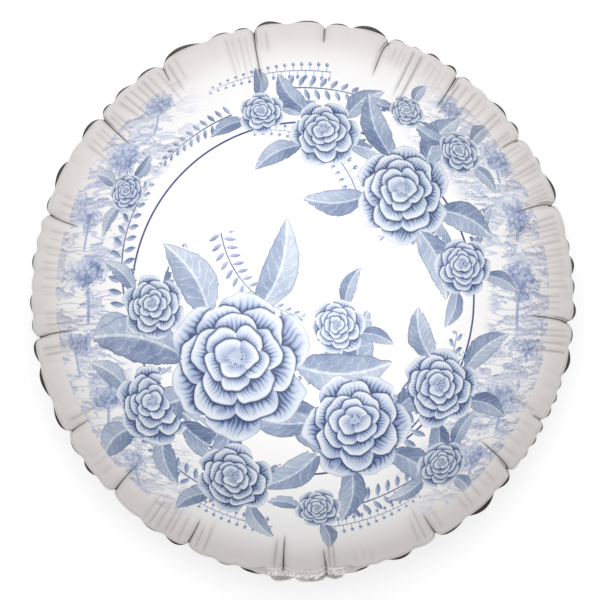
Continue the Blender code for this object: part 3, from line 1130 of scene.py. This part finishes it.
def flowerInk(g, place, blot):
    # Tone from light to dark, outline, and the area covered
    u, v, seed = place.parts()
    warp = g.noise(g.vector(u, v, seed * 7), 1.9, 2, 0.5, "Color")
    warpU, warpV = warp.parts()[:2]
    u = u + (warpU - 0.5) * 0.26
    v = v + (warpV - 0.5) * 0.26
    tone = None
    for k, (radius, count, turn, off) in enumerate(petalRings):
        ringU = u + off * 0.4
        ringV = v - off
        reach = (ringU * ringU + ringV * ringV) ** 0.5
        petal = (ringV.math("ARCTAN2", ringU) * (count / math.tau) + (turn + 1) + seed).fract() * 2 - 1
        side = abs(petal)
        edge = (side * side * side * -0.20 + 1) * radius
        inner = petalRings[k + 1][0] - 0.06 if k + 1 < len(petalRings) else 0.04
        depth = ((edge - reach) / (radius - inner)).clamped()
        hatch = abs((petal * 5 + warpU * 5).fract() - 0.5).ramp(0.30, 0.06) * depth.ramp(0.12, 0.75)
        fresh = depth ** 1.3 * 0.66 + petal.ramp(0.30, 1.0) * 0.28 + hatch * 0.30 + 0.06
        fresh = fresh + (depth - 0.10).math("ABSOLUTE").ramp(0.05, 0.01) * 0.10
        within = (edge - reach).ramp(0, 0.012)
        edgeLine = abs(edge - reach).ramp(0.020, 0.006)
        if tone is None:
            tone, line = fresh, edgeLine
            area = within
        else:
            shadow = (reach - edge).ramp(0.075, 0.0) * 0.22
            tone = (tone + shadow) * (1 - within) + fresh * within
            line = (line * (1 - within)).greater(edgeLine)
    heart = ((u + 0.044) * (u + 0.044) + (v - 0.11) * (v - 0.11)) ** 0.5
    dots = g.cells(g.vector(u, v, seed), 24.0).ramp(0.15, 0.5)
    inHeart = heart.ramp(0.12, 0.09)
    tone = tone * (1 - inHeart) + (1.0 - dots * 0.6) * inHeart
    return (tone + (blot - 0.5) * 0.35).clamped(), line * area, area


def leafInk(place, blot, wobble):
    along, across, seed = place.parts()
    shape = (along.clamped() ** 0.82 * math.pi).sine().clamped() ** 0.85 * 0.94
    side = abs(across)
    gap = shape - side + wobble * 0.35
    area = gap.ramp(-0.01, 0.04) * along.above(0.0) * along.below(1.0)
    veins = abs(((along - side * 0.24) * 8 + wobble * 2).fract() - 0.5)
    vein = veins.ramp(0.09, 0.02) * gap.ramp(0.05, 0.25)
    hatches = abs(((along + side * 0.30) * 26 + wobble * 3).fract() - 0.5)
    hatch = hatches.ramp(0.30, 0.12) * across.ramp(0.0, 0.3)
    rib = side.ramp(0.085, 0.03)
    tone = 0.34 + across.ramp(-0.12, 0.15) * 0.16 + (1 - along) * 0.20
    tone = tone + hatch * 0.10 - vein * 0.20 - rib * 0.26
    tone = tone + (seed - 0.5) * 0.16 + (blot - 0.5) * 0.5
    return tone.clamped(), gap.ramp(0.09, 0.03) * gap.ramp(-0.04, 0.0) * area, area


def stemInk(place, blot):
    # Small leaves in turn on either side of a stem
    run, across = place.parts()[:2]
    side = abs(across)
    step = (run + across.above(0) * 0.5).fract() - 0.5
    lean = step - (side - 0.5) * 0.50
    width = ((side.clamped() - 0.06) * 1.06 * math.pi).sine().clamped() ** 0.8 * 0.27
    leaf = (width - abs(lean)).ramp(0.0, 0.04) * side.below(0.99)
    stem = side.ramp(0.075, 0.035)
    area = leaf.greater(stem) * side.below(1.2)
    tone = 0.40 + side * 0.15 + lean.ramp(-0.01, 0.02) * 0.20 + stem * 0.3 + (blot - 0.5) * 0.7
    return tone.clamped(), area


def berryInk(place, blot):
    run, across = place.parts()[:2]
    side = abs(across)
    step = (run + across.above(0) * 0.5).fract() - 0.5
    berry = (step * step * 1.1 + (side - 0.72) * (side - 0.72)) ** 0.5
    shine = ((step + 0.07) * (step + 0.07) + (side - 0.80) * (side - 0.80)) ** 0.5
    stalk = abs(step).ramp(0.06, 0.03) * side.below(0.6) * 0.8
    area = berry.ramp(0.24, 0.20).greater(stalk).greater(side.ramp(0.07, 0.03)) * side.below(1.2)
    tone = 0.72 - shine.ramp(0.14, 0.04) * 0.5 + (blot - 0.5) * 0.4
    return tone.clamped(), area


def treeInk(g, place, blot):
    # A round tree drawn in tufts, on a thin leaning trunk, with a stroke of ground
    u, v, seed = place.parts()
    spot = g.vector(u, v, seed * 9)
    lumps = g.noise(spot, 2.6, 3, 0.55) - 0.5
    crown = (u * u + (v - 0.28) * (v - 0.28) * 1.5) ** 0.5
    gap = 0.60 - crown + lumps * 0.95
    tuft = g.cells(spot, 7.5)
    sprig = g.cells(g.vector(u, v * 1.5, seed * 5), 19.0)
    tone = 0.16 + tuft.ramp(0.25, 0.75) * 0.34 + (u * 0.7 - (v - 0.28)).ramp(-0.5, 0.7) * 0.34
    tone = tone + sprig.ramp(0.30, 0.55) * 0.24 - 0.05
    cover = gap.ramp(0.0, 0.03) * (0.35 + sprig.ramp(0.62, 0.42) * 0.65).greater(gap.ramp(0.05, 0.22))
    lean = u - (v * 2.6 + seed * 5).sine() * 0.07
    trunk = abs(lean).ramp(0.055, 0.035) * v.above(-0.88) * v.below(0.25)
    fork = abs(abs(lean) - (v + 0.10) * 0.65).ramp(0.030, 0.015) * v.above(-0.10) * v.below(0.35)
    ground = abs(v + 0.88 + (u * 7 + seed * 4).sine() * 0.025).ramp(0.035, 0.015) * abs(u).below(0.80)
    under = abs(v + 0.97).ramp(0.025, 0.010) * abs(u - 0.1).below(0.45)
    wood = trunk.greater(fork).greater(ground * 0.8).greater(under * 0.6)
    area = cover.greater(wood * (1 - cover * 0.5))
    tone = tone * cover + 0.62 * wood * (1 - cover)
    return (tone + (blot - 0.5) * 0.5).clamped(), area.clamped()


def borderColour(g, x, y, reach, blot, colour):
    # Banks of foliage and rolling ground, drawn in strokes to the left and right
    sideways = (abs(x) / (reach + 0.001)).ramp(0.38, 0.72)
    border = reach.ramp(picture["borderFrom"] + 0.006, picture["borderFrom"] + 0.016) * sideways
    hill = g.noise(g.vector(x * 0.55, y * 2.2, 2.0), 26.0, 2, 0.45)
    ground = abs((hill * 9).fract() - 0.5).ramp(0.13, 0.04) * hill.ramp(0.30, 0.45)
    colour = g.mix(border * ground * 0.42, colour, srgb("8096CF"))
    bank = g.noise(g.vector(x, y * 2.1, 6.0), 42.0, 4, 0.62)
    above = g.noise(g.vector(x, (y + 0.0016) * 2.1, 6.0), 42.0, 4, 0.62)
    tuft = g.cells(g.vector(x, y * 1.7, 4.0), 430.0)
    cover = bank.ramp(0.505, 0.525) * border
    tone = 0.30 + (bank - above) * 4.5 + tuft.ramp(0.25, 0.60) * 0.26 + (blot - 0.5) * 0.5
    cover = cover * (0.35 + tuft.ramp(0.60, 0.35) * 0.4)
    colour = g.mix(cover, colour, inkColour(g, tone.clamped(), 0.1))
    outline = abs(bank - 0.507).ramp(0.010, 0.004) * border
    return g.mix(outline * 0.6, colour, srgb("6F86C4"))


def pictureColour(g, x, y, reach, blot, wobble, paper):
    # The whole print, from the border up to the topmost flowers
    colour = borderColour(g, x, y, reach, blot, paper)
    tone, area = treeInk(g, g.attribute("treePlace"), blot)
    colour = g.mix(area * 0.85, colour, inkColour(g, tone * 0.92, 0.1))
    colour = g.mix(reach.ramp(picture["ring"] + 0.0002, picture["ring"] - 0.0002), colour, paper)
    line = abs(reach - picture["ring"]).ramp(picture["ringLine"] * 1.3, picture["ringLine"] * 0.8)
    colour = g.mix(line, colour, inks["ring"])
    tone, area = berryInk(g.attribute("berryPlace"), blot)
    colour = g.mix(area, colour, inkColour(g, tone, 0.2))
    tone, area = stemInk(g.attribute("stemPlace"), blot)
    colour = g.mix(area, colour, inkColour(g, tone, 0.6))
    for name in ("underLeaf", "leafPlace"):
        tone, line, area = leafInk(g.attribute(name), blot, wobble)
        colour = g.mix(area, colour, g.mix(line * 0.6, inkColour(g, tone, 0.85), inks["line"]))
    for name, cool in (("underFlower", 0.75), ("flowerPlace", 0.50)):
        tone, line, area = flowerInk(g, g.attribute(name), blot)
        colour = g.mix(area, colour, g.mix(line * 0.80, inkColour(g, tone, cool), inks["line"]))
    return colour


def paintedFoldShade(g):
    # Painted shade: how dark the painted shadow line along a crease is, and how deep the painted shade
    # of a wrinkle
    away, strength, crease = g.attribute("foldLine").parts()
    soft = g.attribute("softShade").parts()[0]
    line = (away * away * -1).math("EXPONENT") * strength
    return line * crease, soft.greater(line * (1 - crease))


def makeWhiteFoil():
    g = Graph("whiteFoil")
    x, y, kind = g.attribute("flatPlace").parts()
    reach = (x * x + y * y) ** 0.5
    plane = g.vector(x, y)
    onTail = kind.above(0.5) * kind.below(1.5)
    run = y * -1 - (flatRadius + body["band"])
    atRoot = kind.ramp(0.85, 1.0) * onTail * run.ramp(0.022, 0.008)
    blot = g.noise(plane, 75.0, 4, 0.6)
    wobble = g.noise(plane, 130.0, 3, 0.55) - 0.5

    # The film's white, painted darker and warmer towards the rim as painted shade and painted warm
    # reflection
    paper = g.mix(reach.ramp(0.150, 0.188), inks["paper"], srgb("EAE4E2"))
    onPrint = reach.ramp(picture["edge"] + 0.0002, picture["edge"] - 0.0002) * kind.below(0.5)
    colour = g.mix(onPrint, paper, pictureColour(g, x, y, reach, blot, wobble, paper))
    # The tail's crumpled root is painted in greys: the speckle, which also bumps it, sets lighter and
    # darker specks as painted shade and glints of its crinkles, and its upward-facing top next to the
    # band is painted darker still as painted shade
    speckle = g.noise(g.vector(x, y, 3.0), 620.0, 3, 0.7)
    rootTopShadeFade = run.ramp(0.002, 0.006)
    crinkleShadeAndGlint = g.mix(speckle.ramp(0.36, 0.56), g.mix(rootTopShadeFade, srgb("A19E9B"), srgb("D2CFCC")),
                     g.mix(rootTopShadeFade, srgb("DAD7D4"), srgb("FAF8F6")))
    colour = g.mix(atRoot, colour, crinkleShadeAndGlint)

    # Painted shade: dark painted shadow lines along the creases, soft painted shade in the wrinkles
    creaseShadowLine, shade = paintedFoldShade(g)
    colour = g.mix((shade * 0.55).clamped(), colour, srgb("867D79"))
    colour = g.mix((creaseShadowLine * 0.95).clamped(), colour, srgb("3B3735"))
    # A line of weld along either side of the tail
    tailMiddle = body["along"] * math.cos(math.radians(tail["azimuth"]))
    seal = abs(abs(x - tailMiddle) - tail["width"] / 2 + 0.0034)
    relief = g.noise(plane, 240.0, 3, 0.5) + onTail * seal.ramp(0.0008, 0.0003) * 0.8
    normal = g.bump(relief, 0.05, 0.0006)
    normal = g.bump(g.noise(plane, 900.0, 4, 0.6), 0.03, 0.0001, normal)
    normal = g.bump(speckle * atRoot, 0.5, 0.0009, normal)
    rough = 0.40 + (blot - 0.5) * 0.06 + creaseShadowLine * 0.1
    metal = 0.04 + onTail * 0.1 + atRoot * 0.15
    return g.finish(colour=colour, rough=rough, metal=metal, normal=normal, specular=0.3)


def makeSilverFoil():
    g = Graph("silverFoil")
    x, y, kind = g.attribute("flatPlace").parts()
    plane = g.vector(x, y)
    blot = g.noise(plane, 30.0, 4, 0.6)
    inward = kind.above(1.5)
    # Painted shade: a dark painted shadow line along each crease
    creaseShadowLine = paintedFoldShade(g)[0]
    colour = g.mix(blot, srgb("BEBFC2"), srgb("CFCFD0"))
    colour = g.mix(creaseShadowLine * 0.6, colour, srgb("4A4948"))
    # The inward side, seen as thin slivers of rim past the scallops, is painted dark grey as painted
    # shade
    colour = g.mix(inward, colour, srgb("4A4643"))
    normal = g.bump(g.noise(plane, 220.0, 3, 0.5), 0.12, 0.0008)
    rough = 0.20 + blot * 0.10 + inward * 0.15
    return g.finish(colour=colour, rough=rough, metal=1 - inward * 0.35, normal=normal)


frontFoil.data.materials.append(makeWhiteFoil())
backFoil.data.materials.append(makeSilverFoil())
print("materials made")

for piece, node in ((frontFoil, "front_foil"), (backFoil, "back_foil")):
    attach(piece, "root")
    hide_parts(node)
print("pieces fitted to the frame")
